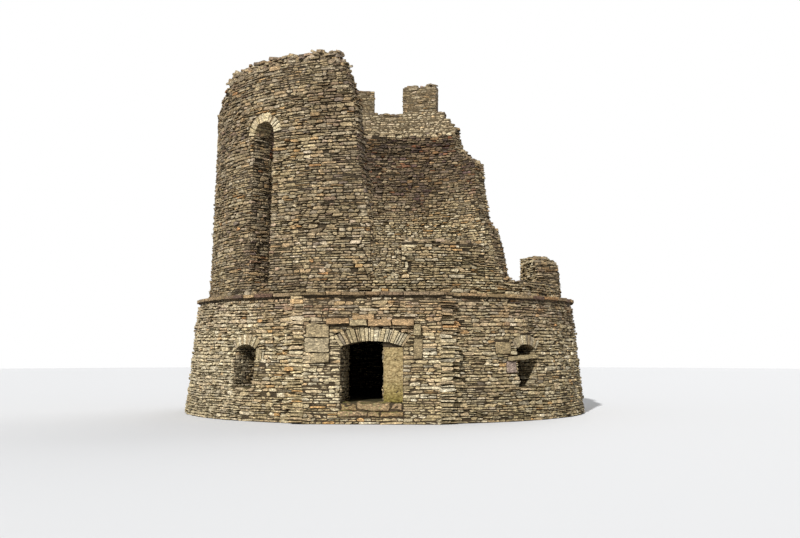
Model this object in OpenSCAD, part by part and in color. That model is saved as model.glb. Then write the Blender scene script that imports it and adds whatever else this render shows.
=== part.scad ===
// A ruined round tower of coursed rubble: a battered lower stage with a flat door
// panel, a vaulted lower room, and a taller drum that stands full height at the back
// and left and has fallen to stumps at the front and right.
// The door faces -Y, the ground is z = 0, and angles are counted from the door,
// growing towards +X.

/* [Lower stage] */
// Outer radius of the wall at the ground
foot_r = 6800; // [6650:10:6950]
// Outer radius of the wall under the string course
stage_r = 6400; // [6300:10:6500]
// Height of the lower stage
stage_h = 3700; // [3600:10:3900]
// Height of the threshold above the lowest ground
door_z = 600; // [400:10:700]

/* [Door panel] */
// Half the width of the flat panel round the door
panel_half = 2000; // [1800:10:2150]
// How far the panel's head stands in front of the round wall
panel_out = 160; // [100:10:250]
// Width of the door at the face of the panel
door_w = 1800; // [1600:10:2000]
// Height from the threshold to the springing of the door arch
door_spring = 1600; // [1500:10:1700]
// Rise of the door arch
door_rise = 160; // [120:10:220]
// Depth of the voussoirs over the door
door_ring = 400; // [300:10:450]
// Number of thin upright stones in the door arch
door_stones = 19; // [9:2:25]
// How far the left reveal closes in on its way through the wall
left_splay = 110; // [20:10:300]
// Width of the cheek that closes the right side of the doorway
cheek_w = 570; // [300:10:700]
// How far the cheek's face lies behind the panel at the springing
cheek_back = 100; // [60:10:300]
// Thickness of the threshold slab
threshold_t = 140; // [80:10:200]
// How far the threshold slab stands out from the panel
threshold_nose = 30; // [10:5:40]

/* [Hood and blocks] */
// How far the hood stones stand out from the panel
hood_out = 140; // [60:5:180]
// Height of a hood stone
hood_h = 180; // [140:5:220]
// Gap between the back of the arch and the hood stones
hood_gap = 30; // [0:5:60]
// Width of the corbel at the right end of the hood
stop_w = 220; // [160:5:260]
// Height of the corbel
stop_h = 290; // [200:5:340]
// How far the smooth upright blocks stand out from the panel
block_out = 60; // [20:5:80]
// Width of the left upright block
left_block_w = 700; // [500:10:760]
// Height of the left upright block
left_block_h = 1000; // [800:10:1100]
// Width of the right upright block
right_block_w = 230; // [150:10:300]
// Height of the right upright block
right_block_h = 580; // [400:10:640]

/* [Lower windows] */
// Width of a lower window
low_w = 870; // [700:10:950]
// Height of its sill above the ground
low_sill = 1000; // [850:10:1100]
// Height of its springing above the ground
low_spring = 2120; // [2000:10:2180]
// Rise of its arch
low_rise = 150; // [100:10:180]
// Depth of the stones in its arch
low_ring = 300; // [220:10:340]
// Number of stones in its arch
low_stones = 11; // [7:2:15]
// Thickness of the slab that lies across the right window
slab_t = 140; // [80:10:180]
// Height of the underside of that slab
slab_z = 1800; // [1700:10:1850]
// Depth of the slab into the wall
slab_d = 500; // [300:10:700]
// How far each end of the slab bears in the jamb
slab_seat = 90; // [50:10:150]

/* [String course] */
// How far the string course stands out from the lower stage
string_out = 95; // [50:5:120]
// Height of the string course at its face
string_h = 110; // [80:5:160]
// Rise of its weathered top towards the drum
string_slope = 70; // [20:5:120]

/* [Drum] */
// Width of the ledge outside the drum's foot
offset_w = 300; // [200:10:400]
// Thickness of the drum wall at its foot
drum_t = 800; // [700:10:900]
// Height of the drum from the lower stage to the roof ledge
drum_h = 7200; // [7000:10:7400]
// How far the drum leans in over its height
drum_lean = 260; // [150:10:320]
// Height of the window sills above the lower stage
sill_h = 400; // [300:10:500]
// Spacing of the bays in degrees
bay = 40;
// Turn of the bays against the door in degrees
bay_turn = 3.5; // [2:0.5:5]
// Width of a tall window
tall_w = 900; // [800:10:1000]
// Height of its jambs from the sill to the springing
tall_jamb = 4700; // [4200:10:4800]
// Rise of its arch
tall_rise = 400; // [300:10:450]
// Depth of the stones in its arch
tall_ring = 280; // [220:10:320]
// Number of stones in its arch
tall_stones = 13; // [9:2:17]
// Height of one step in the broken tops
step_h = 220; // [180:10:300]

/* [Parapet] */
// Width of the roof ledge inside the parapet
ledge_w = 120; // [60:10:180]
// Height of the parapet above the ledge
parapet_h = 900; // [800:10:1000]
// Height of the merlons above the parapet
merlon_h = 1100; // [900:10:1200]
// Width of a merlon
merlon_w = 1400; // [1300:10:1600]
// Angle from one merlon to the next
merlon_pitch = 27.2; // [26:0.2:30]
// Angle of the first merlon
merlon_turn = 168.8; // [167:0.2:171]

/* [Vault and floors] */
// Width of the step inside the lower wall on which the vault bears
vault_seat = 150; // [100:10:250]
// Height of the vault's springing above the ground
vault_z = 2500; // [2480:10:2600]
// Rise of the vault
vault_rise = 950; // [800:10:1000]
// Thickness of the upper floor
floor_t = 120; // [80:10:160]
// Depth of the upper floor's top below the window sills
floor_drop = 100; // [40:10:200]

/* [Hidden] */
$fn = 256;
clear = 0.3;        // gap kept between curved faces that meet
joint = 10;         // open joint between two stones of an arch
rake = 18;          // depth to which the arch joints are raked out
shoulder = 100;     // width that a window head rests on its piers
far = 9000;         // beyond the face of every wall
buff = "#a89a78";
grey = "#8f8873";
ochre = "#b0834e";

panel_foot = foot_r;
panel_head = stage_r + panel_out;
drum_r = stage_r - offset_w;
hall_r = drum_r - drum_t;
room_r = hall_r - vault_seat;
ledge_z = stage_h + drum_h;
passage_end = sqrt(room_r * room_r - door_w * door_w / 4) - 300;

function angle_of(k) = bay_turn + bay * k;
function stage_at(z) = foot_r - (foot_r - stage_r) * z / stage_h;
function panel_at(z) = panel_foot - (panel_foot - panel_head) * z / stage_h;
cheek_y = panel_at(door_z + door_spring) - cheek_back;
function drum_at(z) = drum_r - drum_lean * (z - stage_h) / (ledge_z - stage_h);
drum_base_z = stage_h + sill_h;
tall_spring = drum_base_z + tall_jamb;
floor_z = drum_base_z - floor_drop;
vault_ball = (room_r * room_r + vault_rise * vault_rise) / (2 * vault_rise);

// The circle of a segmental or round arch: radius, height of the centre, half angle.
function arch_r(w, rise) = (w * w / 4 + rise * rise) / (2 * rise);
function arch_c(w, spring, rise) = spring + rise - arch_r(w, rise);
function arch_a(w, rise) = rise >= w / 2 ? 90 : asin(w / 2 / arch_r(w, rise));
function back_x(w, rise, ring) = (arch_r(w, rise) + ring) * sin(arch_a(w, rise));
function back_z(w, spring, rise, ring) =
  arch_c(w, spring, rise) + (arch_r(w, rise) + ring) * cos(arch_a(w, rise));

// Steps of about step_h between two points of a broken top.
function stair(p, q) =
  let (n = max(1, round(abs(q[1] - p[1]) / step_h)))
  [for (i = [1 : n], j = [0, 1])
    [p[0] + (q[0] - p[0]) * i / n, p[1] + (q[1] - p[1]) * (i - 1 + j) / n]];
function broken(tops) =
  [for (i = [0 : len(tops) - 2], p = stair(tops[i], tops[i + 1])) p];

// Faces the children outward at an angle from the door.
module facing(a) rotate([0, 0, a]) children();

// Draws a flat outline of x and height through the wall towards the door.
module through(depth = far) rotate([90, 0, 0]) linear_extrude(depth) children();

// A sweep of a profile of radius and height from one angle to another.
module sweep(a0, a1, profile)
  rotate([0, 0, a0 - 90]) rotate_extrude(angle = a1 - a0) polygon(profile);

// The lower wall, which steps back above the vault's springing.
module lower_ring(a0, a1, z0 = 0, z1 = stage_h, skin = 0)
  sweep(a0, a1, concat(
    [[stage_at(z0) - skin, z0], [stage_at(z1) - skin, z1]],
    z1 > vault_z
      ? [[hall_r, z1], [hall_r, max(z0, vault_z)]]
      : [[room_r + skin, z1]],
    z0 < vault_z && z1 > vault_z ? [[room_r + skin, vault_z]] : [],
    z0 < vault_z ? [[room_r + skin, z0]] : []));

module drum_ring(a0, a1, z0, z1, skin = 0)
  sweep(a0, a1, [[hall_r + skin, z0], [drum_at(z0) - skin, z0],
    [drum_at(z1) - skin, z1], [hall_r + skin, z1]]);

// The outline that an arched opening takes out of a wall, with its arch and head.
module gap_outline(w, sill, spring, rise, ring, top) {
  bx = back_x(w, rise, ring);
  bz = back_z(w, spring, rise, ring);
  polygon([[-w / 2, sill], [w / 2, sill], [w / 2, spring], [bx, bz],
    [bx + shoulder, bz], [bx + shoulder, top], [-bx - shoulder, top],
    [-bx - shoulder, bz], [-bx, bz], [-w / 2, spring]]);
}

// The wall above an arch, between its back and the top of the opening's outline.
module head_outline(w, spring, rise, ring, top) {
  bx = back_x(w, rise, ring) + shoulder;
  bz = back_z(w, spring, rise, ring);
  difference() {
    translate([-bx, bz]) square([2 * bx, top - bz]);
    translate([0, arch_c(w, spring, rise)]) circle(arch_r(w, rise) + ring);
  }
}

// The mortar between the stones of an arch, raked back from every edge.
module band_outline(w, spring, rise, ring) {
  r = arch_r(w, rise);
  c = arch_c(w, spring, rise);
  a = arch_a(w, rise) - 0.5;
  k = 3 * (r + ring);
  intersection() {
    translate([0, c]) difference() {
      circle(r + ring - 2 * rake);
      circle(r + rake);
    }
    polygon([[0, c], [-k * sin(a), c + k * cos(a)], [-k * sin(a), c + 2 * k],
      [k * sin(a), c + 2 * k], [k * sin(a), c + k * cos(a)]]);
  }
}

// The separate stones of an arch, every other one a little shorter.
module stones_outline(w, spring, rise, ring, count) {
  r = arch_r(w, rise);
  c = arch_c(w, spring, rise);
  a = arch_a(w, rise);
  pitch = 2 * a / count;
  gap = joint / 2 / r * 180 / PI;
  for (i = [0 : count - 1]) {
    a0 = -a + i * pitch + (i == 0 ? 0 : gap);
    a1 = -a + (i + 1) * pitch - (i == count - 1 ? 0 : gap);
    r1 = r + ring - clear - (i % 2) * rake;
    polygon([[r * sin(a0), c + r * cos(a0)], [r1 * sin(a0), c + r1 * cos(a0)],
      [r1 * sin(a1), c + r1 * cos(a1)], [r * sin(a1), c + r * cos(a1)]]);
  }
}

// A stone or course laid against the battered face of the door panel.
module on_panel(x0, x1, z0, z1, out)
  translate([x0, 0, 0]) rotate([90, 0, 90]) linear_extrude(x1 - x0)
    polygon([[-panel_at(z0), z0], [-panel_at(z0) - out, z0],
      [-panel_at(z1) - out, z1], [-panel_at(z1), z1]]);

// The full block of masonry behind the flat panel.
module panel_block(skin = 0)
  difference() {
    translate([-panel_half, 0, 0]) rotate([90, 0, 90]) linear_extrude(2 * panel_half)
      polygon([[skin - panel_foot, 0], [skin - panel_head, stage_h],
        [0, stage_h], [0, 0]]);
    translate([0, 0, -1]) cylinder(r = room_r + skin, h = stage_h + 2);
    translate([0, 0, vault_z]) cylinder(r = hall_r, h = stage_h);
  }

module door_gap()
  gap_outline(door_w, -1, door_z + door_spring, door_rise, door_ring, stage_h + 1);

// Masonry inside the doorway that narrows the passage, from its plan.
module narrowing()
  intersection() {
    linear_extrude(stage_h) children();
    through() {
      translate([-door_w / 2 - 2, 0])
        square([door_w + 4, door_z + door_spring - clear]);
      intersection() {
        translate([-door_w / 2, 0]) square([door_w, stage_h]);
        translate([0, arch_c(door_w, door_z + door_spring, door_rise)])
          circle(arch_r(door_w, door_rise) - 3);
      }
    }
    panel_block();
  }

// The left jamb, which closes in a little on its way through the wall.
module left_reveal()
  narrowing() polygon([[-door_w / 2, -panel_foot], [left_splay - door_w / 2, -passage_end],
    [-door_w / 2 - 1, -passage_end], [-door_w / 2 - 1, -panel_foot]]);

// The right cheek, whose face stands a little behind the panel.
module right_cheek()
  narrowing() polygon([[door_w / 2 - cheek_w, -cheek_y], [door_w / 2 + 1, -cheek_y],
    [door_w / 2 + 1, -passage_end], [door_w / 2 - cheek_w, -passage_end]]);

module ground_floor()
  color(grey) difference() {
    cylinder(r = room_r - clear, h = door_z);
    translate([-door_w, -far - sqrt(room_r * room_r - door_w * door_w / 4), -1])
      cube([2 * door_w, far, door_z + 2]);
  }

// The doorstep fills the passage below the threshold and meets the floor inside.
module threshold() {
  inner = sqrt(room_r * room_r - door_w * door_w / 4);
  color(grey) difference() {
    translate([-door_w / 2, 0, 0]) rotate([90, 0, 90]) linear_extrude(door_w)
      polygon([[-panel_at(0), 0], [-panel_at(door_z - threshold_t), door_z - threshold_t],
        [-panel_at(door_z) - threshold_nose, door_z - threshold_t],
        [-panel_at(door_z) - threshold_nose, door_z], [-inner, door_z], [-inner, 0]]);
    left_reveal();
    right_cheek();
  }
}

module door_panel(side)
  color(buff) {
    difference() {
      panel_block();
      through() door_gap();
      translate([side > 0 ? -far : 0, -far, -1]) cube([far, far, stage_h + 2]);
    }
    children();
  }
module door_panel_left() door_panel(-1) left_reveal();
module door_panel_right() door_panel(1) right_cheek();

module door_head()
  color(buff) intersection() {
    panel_block();
    through() head_outline(door_w, door_z + door_spring, door_rise, door_ring, stage_h);
  }

module door_arch()
  color(buff) {
    intersection() {
      panel_block();
      through() stones_outline(door_w, door_z + door_spring, door_rise, door_ring,
        door_stones);
    }
    intersection() {
      panel_block(rake);
      through() band_outline(door_w, door_z + door_spring, door_rise, door_ring);
    }
  }

// Dressed stones laid in a level row over the arch, with one more above them and a
// corbel at the right end.
module hood_stones() {
  z0 = door_z + door_spring + door_rise + door_ring + hood_gap;
  row = [-1310, -640, -620, -120, -100, 560, 580, 1220];
  color(ochre) {
    for (i = [0 : 2 : len(row) - 2])
      on_panel(row[i], row[i + 1], z0, z0 + hood_h, hood_out);
    on_panel(-590, 90, z0 + hood_h, z0 + hood_h + 0.8 * hood_h, hood_out / 2);
    on_panel(row[7] - 10, row[7] - 10 + stop_w, z0 - stop_h, z0, hood_out);
  }
}

module impost_blocks() {
  z1 = door_z + door_spring + door_rise + door_ring - 50;
  color(buff) {
    on_panel(-door_w / 2 - 320 - left_block_w, -door_w / 2 - 320,
      z1 - left_block_h, z1, block_out);
    on_panel(door_w / 2 + 320, door_w / 2 + 320 + right_block_w,
      z1 - stop_h - right_block_h, z1 - stop_h - 60, block_out);
  }
}

// The outline of a lower window, cut through the wall at the angle of its bay.
module low_gap(k)
  facing(angle_of(k)) through()
    gap_outline(low_w, -1, low_spring, low_rise, low_ring, stage_h + 1);

module panel_space()
  translate([-panel_half, -far, -1]) cube([2 * panel_half, far, stage_h + 2]);

module slab_seat_space(extra)
  facing(angle_of(1)) translate([-low_w / 2 - slab_seat - extra, -stage_at(slab_z) - far,
    slab_z - extra]) cube([low_w + 2 * (slab_seat + extra), far + slab_d, slab_t + 2 * extra]);

module lower_wall(a0, a1)
  color(buff) difference() {
    lower_ring(a0, a1);
    children();
  }
module lower_wall_front_left()
  lower_wall(angle_of(-1), 0) {
    low_gap(-1);
    panel_space();
  }
module lower_wall_front_right()
  lower_wall(0, angle_of(1)) {
    low_gap(1);
    panel_space();
    slab_seat_space(clear);
  }
module lower_wall_left() lower_wall(-110, angle_of(-1)) low_gap(-1);
module lower_wall_right()
  lower_wall(angle_of(1), 110) {
    low_gap(1);
    slab_seat_space(clear);
  }
module lower_wall_rear_left() lower_wall(180, 250);
module lower_wall_rear_right() lower_wall(110, 180);

module lower_window_aprons()
  color(buff) for (k = [-1, 1]) intersection() {
    lower_ring(angle_of(k) - 6, angle_of(k) + 6, 0, low_sill);
    facing(angle_of(k)) through() translate([-low_w / 2, -1]) square([low_w, far]);
  }

module lower_window_heads()
  color(buff) for (k = [-1, 1]) intersection() {
    lower_ring(angle_of(k) - 9, angle_of(k) + 9);
    facing(angle_of(k)) through()
      head_outline(low_w, low_spring, low_rise, low_ring, stage_h);
  }

module lower_window_arches()
  color(buff) for (k = [-1, 1]) {
    intersection() {
      lower_ring(angle_of(k) - 9, angle_of(k) + 9);
      facing(angle_of(k)) through()
        stones_outline(low_w, low_spring, low_rise, low_ring, low_stones);
    }
    intersection() {
      lower_ring(angle_of(k) - 9, angle_of(k) + 9, 0, stage_h, rake);
      facing(angle_of(k)) through()
        band_outline(low_w, low_spring, low_rise, low_ring);
    }
  }

module fallen_slab()
  color(grey) intersection() {
    slab_seat_space(0);
    lower_ring(angle_of(1) - 9, angle_of(1) + 9);
  }

// The string course on the curved wall.
module string_arc(a0, a1)
  sweep(a0, a1, [[drum_r + clear, stage_h], [stage_r + string_out, stage_h],
    [stage_r + string_out, stage_h + string_h],
    [drum_r + clear, stage_h + string_h + string_slope]]);
module string_front_space()
  translate([-panel_half - string_out, -far, stage_h - 1])
    cube([2 * (panel_half + string_out), far, far]);
module string_front()
  color(ochre) difference() {
    translate([-panel_half - string_out, 0, 0]) rotate([90, 0, 90])
      linear_extrude(2 * (panel_half + string_out))
        polygon([[-panel_head - string_out, stage_h],
          [-panel_head - string_out, stage_h + string_h],
          [-drum_r * cos(20), stage_h + string_h + string_slope],
          [-drum_r * cos(20), stage_h]]);
    translate([0, 0, stage_h - 1]) cylinder(r = drum_r + clear, h = far);
  }
module string_right()
  color(ochre) difference() {
    string_arc(0, 90);
    string_front_space();
  }
module string_left()
  color(ochre) difference() {
    string_arc(-90, 0);
    string_front_space();
  }
module string_rear() color(ochre) string_arc(90, 270);

// A shallow dome with its filling, which bears on the step inside the lower wall.
module vault()
  color(grey) difference() {
    translate([0, 0, vault_z])
      cylinder(r = hall_r - clear, h = floor_z - floor_t - vault_z);
    translate([0, 0, vault_z + vault_rise - vault_ball]) sphere(vault_ball);
  }

module upper_floor()
  color(grey) translate([0, 0, floor_z - floor_t])
    cylinder(r = hall_r - clear, h = floor_t);

module drum_base(a0, a1) color(buff) drum_ring(a0, a1, stage_h, drum_base_z);
module drum_base_front() drum_base(-56.5, 63.5);
module drum_base_right() drum_base(63.5, 148);
module drum_base_rear() drum_base(148, 219);
module drum_base_left() drum_base(219, 303.5);

// The space of a tall window with its arch and head.
module tall_gap(k, arched)
  facing(angle_of(k)) through()
    if (arched)
      gap_outline(tall_w, drum_base_z - 1, tall_spring, tall_rise, tall_ring, far * 2);
    else translate([-tall_w / 2, drum_base_z - 1]) square([tall_w, far]);

// The space under a broken top. Its points are a share of half the wall's width, from
// -1 at the left as seen from outside to 1, and a share of a height above a base.
module under(a0, a1, base, height, tops) {
  half = drum_r * sin((a1 - a0) / 2);
  points = [for (t = tops) [t[0] * half * 1.05, base + t[1] * height]];
  facing((a0 + a1) / 2) through()
    polygon(concat([[points[0][0], 0], points[0]], broken(points),
      [[points[len(points) - 1][0], 0]]));
}

// A wall between two bays, broken down from the height of the roof ledge.
module drum_wall(a0, a1, tops)
  color(buff) difference() {
    intersection() {
      drum_ring(a0, a1, drum_base_z, ledge_z);
      under(a0, a1, drum_base_z, ledge_z - drum_base_z, tops);
    }
    children();
  }

module pier_front_left()
  drum_wall(angle_of(-1), angle_of(0),
    [[-1, 1], [0.24, 1], [0.39, 0.9], [0.5, 0.76], [0.55, 0.58], [0.66, 0.36],
     [0.74, 0.22], [1, 0.18]]) {
    tall_gap(-1, true);
    tall_gap(0, false);
  }
module pier_left()
  drum_wall(angle_of(-2), angle_of(-1), [[-1, 0.91], [-0.5, 0.95], [-0.1, 1], [1, 1]]) {
    tall_gap(-2, true);
    tall_gap(-1, true);
  }
module pier_rear_left()
  drum_wall(angle_of(-3), angle_of(-2), [[-1, 1], [-0.3, 0.94], [0.2, 0.89], [1, 0.91]]) {
    tall_gap(-3, true);
    tall_gap(-2, true);
  }
module rear_wall_left()
  drum_wall(202, 360 + angle_of(-3), [[-1, 1], [1, 1]]) tall_gap(-3, true);
module rear_wall_middle() drum_wall(165, 202, [[-1, 1], [1, 1]]);
module rear_wall_right()
  drum_wall(angle_of(3), 165,
    [[-1, 0.07], [-0.6, 0.14], [-0.5, 0.3], [-0.4, 0.4], [-0.22, 0.46], [-0.12, 0.68],
     [-0.1, 0.8], [0.28, 0.9], [0.37, 1], [1, 1]])
    tall_gap(3, false);
module stump_front_right()
  drum_wall(angle_of(0), angle_of(1),
    [[-1, 0.17], [0.42, 0.155], [0.6, 0.09], [0.8, 0.02], [1, 0.02]]) {
    tall_gap(0, false);
    tall_gap(1, false);
  }
module stump_right()
  drum_wall(angle_of(1), angle_of(2),
    [[-1, 0.02], [0.3, 0.02], [0.6, 0.05], [1, 0.07]]) {
    tall_gap(1, false);
    tall_gap(2, false);
  }
module stump_rear_right()
  drum_wall(angle_of(2), angle_of(3),
    [[-1, 0.07], [-0.56, 0.14], [-0.27, 0.18], [0.07, 0.2], [0.38, 0.185], [0.41, 0.02],
     [1, 0.02]]) {
    tall_gap(2, false);
    tall_gap(3, false);
  }

module tall_window_heads()
  color(buff) for (k = [-3, -2, -1]) intersection() {
    drum_ring(angle_of(k) - 9, angle_of(k) + 9, drum_base_z,
      drum_base_z + (ledge_z - drum_base_z) * (k == -2 ? 0.91 : 1));
    facing(angle_of(k)) through()
      head_outline(tall_w, tall_spring, tall_rise, tall_ring, far * 2);
  }

module tall_window_arches()
  color(buff) for (k = [-3, -2, -1]) {
    intersection() {
      drum_ring(angle_of(k) - 9, angle_of(k) + 9, drum_base_z, ledge_z);
      facing(angle_of(k)) through()
        stones_outline(tall_w, tall_spring, tall_rise, tall_ring, tall_stones);
    }
    intersection() {
      drum_ring(angle_of(k) - 9, angle_of(k) + 9, drum_base_z, ledge_z, rake);
      facing(angle_of(k)) through()
        band_outline(tall_w, tall_spring, tall_rise, tall_ring);
    }
  }

module parapet(a0, a1, tops)
  color(grey) intersection() {
    sweep(a0, a1, [[hall_r + ledge_w, ledge_z], [drum_at(ledge_z), ledge_z],
      [drum_at(ledge_z), ledge_z + parapet_h], [hall_r + ledge_w, ledge_z + parapet_h]]);
    under(a0, a1, ledge_z, parapet_h, tops);
  }
module parapet_right()
  parapet(152, 192, [[-1, 0.05], [-0.84, 0.1], [-0.72, 0.65], [-0.62, 1], [1, 1]]);
module parapet_left()
  parapet(192, 236, [[-1, 1], [0.4, 1], [0.65, 0.55], [1, 0.2]]);

module merlons()
  color(grey) for (k = [0 : 2]) intersection() {
    sweep(150, 240, [[hall_r + ledge_w, ledge_z + parapet_h],
      [drum_at(ledge_z), ledge_z + parapet_h],
      [drum_at(ledge_z), ledge_z + parapet_h + merlon_h],
      [hall_r + ledge_w, ledge_z + parapet_h + merlon_h]]);
    facing(merlon_turn + merlon_pitch * k) translate([-merlon_w / 2, -far, 0])
      cube([merlon_w, far, ledge_z + parapet_h + merlon_h * [1, 0.85, 0.6][k]]);
  }

ground_floor();
threshold();
door_panel_left();
door_panel_right();
door_head();
door_arch();
hood_stones();
impost_blocks();
lower_wall_front_left();
lower_wall_front_right();
lower_wall_left();
lower_wall_right();
lower_wall_rear_left();
lower_wall_rear_right();
lower_window_aprons();
lower_window_heads();
lower_window_arches();
fallen_slab();
string_front();
string_right();
string_left();
string_rear();
vault();
upper_floor();
drum_base_front();
drum_base_right();
drum_base_left();
drum_base_rear();
pier_front_left();
pier_left();
pier_rear_left();
rear_wall_left();
rear_wall_middle();
rear_wall_right();
stump_front_right();
stump_right();
stump_rear_right();
tall_window_heads();
tall_window_arches();
parapet_left();
parapet_right();
merlons();
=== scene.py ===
"""A ruined round tower of thin-bedded rubble, laid stone by stone over its solid walls."""

import math

import bpy
import numpy as np
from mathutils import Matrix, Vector, noise
from mathutils.bvhtree import BVHTree


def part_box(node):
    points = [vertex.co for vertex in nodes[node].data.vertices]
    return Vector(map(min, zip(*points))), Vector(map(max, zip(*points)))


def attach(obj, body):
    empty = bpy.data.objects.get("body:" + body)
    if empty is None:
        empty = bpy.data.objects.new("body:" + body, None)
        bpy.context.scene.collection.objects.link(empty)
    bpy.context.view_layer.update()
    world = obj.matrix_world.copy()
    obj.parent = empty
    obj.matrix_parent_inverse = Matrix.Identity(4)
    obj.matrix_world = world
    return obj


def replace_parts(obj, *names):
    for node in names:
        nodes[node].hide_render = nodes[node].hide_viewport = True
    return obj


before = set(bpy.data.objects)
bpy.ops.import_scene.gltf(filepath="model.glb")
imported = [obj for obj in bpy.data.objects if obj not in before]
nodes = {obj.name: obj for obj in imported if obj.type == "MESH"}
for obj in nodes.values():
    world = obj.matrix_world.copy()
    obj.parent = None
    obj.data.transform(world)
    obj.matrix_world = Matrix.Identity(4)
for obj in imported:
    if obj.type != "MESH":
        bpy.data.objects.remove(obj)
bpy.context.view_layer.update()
UP = Vector((0, 0, 1))

# Levels and radii of the tower, in metres.
STAGE_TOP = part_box("lower_wall_left")[1].z
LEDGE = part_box("rear_wall_middle")[1].z
PARAPET_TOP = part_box("parapet_left")[1].z
TOWER_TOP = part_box("merlons")[1].z
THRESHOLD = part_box("threshold")[1].z
FLOOR_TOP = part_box("upper_floor")[1].z
PANEL_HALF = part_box("door_panel_right")[1].x
TOP_BED = STAGE_TOP - 0.14  # the foot of the bed that carries the string course
STAGE_FOOT_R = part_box("lower_wall_rear_left")[1].y
STAGE_TOP_R = STAGE_FOOT_R - 0.4
PANEL_TOP_OUT = 6.56  # from the axis to the panel's face at its top
DRUM_R = 6.1
DRUM_TOP_R = DRUM_R - 0.26
DRUM_HIGH = 7.2
HALL_R = 5.3  # inside the drum
ROOM_R = 5.15  # inside the lower stage
BAY = 40.0  # degrees from one window to the next
BAY_TURN = 3.5  # degrees from the door to the window over it

# The door's arch and the windows' arches.
DOOR_WIDTH = 1.8
DOOR_SPRING = THRESHOLD + 1.6
DOOR_RISE = 0.16
DOOR_RING = 0.4
ARCH_TOP = DOOR_SPRING + DOOR_RISE + DOOR_RING
ARCH_BOW = 0.184  # how the ring's back falls off, a metre per metre squared
ARCH_SLANT = 0.727  # how far the ring's ends lean out, a metre per metre of height
LOW_WIDTH, LOW_SPRING, LOW_RISE, LOW_RING = 0.87, 2.12, 0.15, 0.3
TALL_WIDTH, TALL_SPRING, TALL_RISE, TALL_RING = 0.9, 8.8, 0.4, 0.28

# The string course's slabs.
STRING_HALF = 2.085  # half of its length over the panel
STRING_OUT = 0.16
STRING_BACK = DRUM_R - 0.02
STRING_TOP = STAGE_TOP + 0.1

# How stones are laid and shaped.
MORTAR_BACK = 0.035  # how far a stone's sides run back behind the wall's face
SAMPLE = 0.04  # spacing of the probes along a course
REACH = 0.35  # how far from a round wall's mean face a probe starts
SIDES = 8  # of a thin stone's outline
PER_STONE = 2 * SIDES + 1  # vertices of a thin stone
LAYER = 0.065  # height of one layer of loose stones
LOOKS = ("pick", "tone", "brown", "pale", "iron")

WALL_STARTS = (
    "threshold", "door_panel", "door_head", "lower_wall", "lower_window_aprons", "lower_window_heads",
    "drum_base", "pier", "rear_wall", "stump", "tall_window_heads", "parapet", "merlons",
)
DRESSED_STARTS = (
    "impost_blocks", "hood_stones", "fallen_slab", "door_arch", "lower_window_arches", "tall_window_arches",
    "string",
)
WALL_NODES = [name for name in nodes if name.startswith(WALL_STARTS)]


def tree_of(names):
    """The triangles of several solids as one tree for probing by ray."""
    verts, faces = [], []
    for name in names:
        mesh = nodes[name].data
        mesh.calc_loop_triangles()
        faces += [[len(verts) + i for i in tri.vertices] for tri in mesh.loop_triangles]
        verts += [vertex.co for vertex in mesh.vertices]
    return BVHTree.FromPolygons(verts, faces)


wall_tree = tree_of(WALL_NODES)
solid_tree = tree_of(sorted(name for name in nodes if not name.startswith(DRESSED_STARTS)))


# Small helpers.
def linear(hex_colour):
    """A written colour such as #a89a78 as linear red, green, blue and alpha."""
    parts = [int(hex_colour[i : i + 2], 16) / 255 for i in (1, 3, 5)]
    return tuple(c / 12.92 if c <= 0.04045 else ((c + 0.055) / 1.055) ** 2.4 for c in parts) + (1.0,)


def grey(level):
    return (level, level, level, 1.0)


def unit(value):
    """The value, held between 0 and 1."""
    return min(max(value, 0.0), 1.0)


def drift(point, broad, fine, share=0.5):
    """Noise that wanders over the walls in broad patches, with finer ones in them."""
    return noise.noise(Vector(point) * broad) + share * noise.noise(Vector(point) * fine)


def turn_of(point):
    """The angle of a point round the tower from the door, in degrees."""
    return math.degrees(math.atan2(point.x, -point.y))


def out_at(turn):
    """The level direction out of the tower at an angle from the door, in degrees."""
    a = math.radians(turn)
    return Vector((math.sin(a), -math.cos(a), 0))


def stage_r(z):
    """The lower stage's radius, which shrinks upwards."""
    return STAGE_FOOT_R + (STAGE_TOP_R - STAGE_FOOT_R) * z / STAGE_TOP


def panel_y(z):
    """How far in front of the axis the door panel's face stands."""
    return STAGE_FOOT_R + (PANEL_TOP_OUT - STAGE_FOOT_R) * z / STAGE_TOP


def drum_r(z):
    return DRUM_R + (DRUM_TOP_R - DRUM_R) * (z - STAGE_TOP) / DRUM_HIGH


def link(thing):
    bpy.context.scene.collection.objects.link(thing)
    return thing


def make_piece(name, verts, faces, material, smooth, looks=(), corners=0):
    """A piece of the tower. looks has a row for each of LOOKS, with a value for each stone."""
    mesh = bpy.data.meshes.new(name)
    mesh.from_pydata(verts, [], faces)
    for label, values in zip(LOOKS, looks):
        layer = mesh.attributes.new(label, "FLOAT", "POINT")
        layer.data.foreach_set("value", np.repeat(values, corners).astype(np.float32))
    mesh.polygons.foreach_set("use_smooth", np.full(len(mesh.polygons), smooth))
    mesh.materials.append(material)
    piece = link(bpy.data.objects.new(name, mesh))
    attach(piece, "root")
    return piece


# Courses.
def course_heights(seed, low, high, thin, thick):
    """Levels of the beds of masonry from low to high."""
    rng = np.random.default_rng(seed)
    levels = [low]
    while levels[-1] < high - thin:
        levels.append(levels[-1] + rng.uniform(thin, thick))
    levels[-1] = high
    return levels


COURSES = (
    course_heights(11, 0.0, STAGE_TOP, 0.07, 0.14)[:-1]
    + course_heights(12, STAGE_TOP, LEDGE, 0.06, 0.13)[:-1]
    + course_heights(13, LEDGE, TOWER_TOP, 0.055, 0.11)
)


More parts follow.
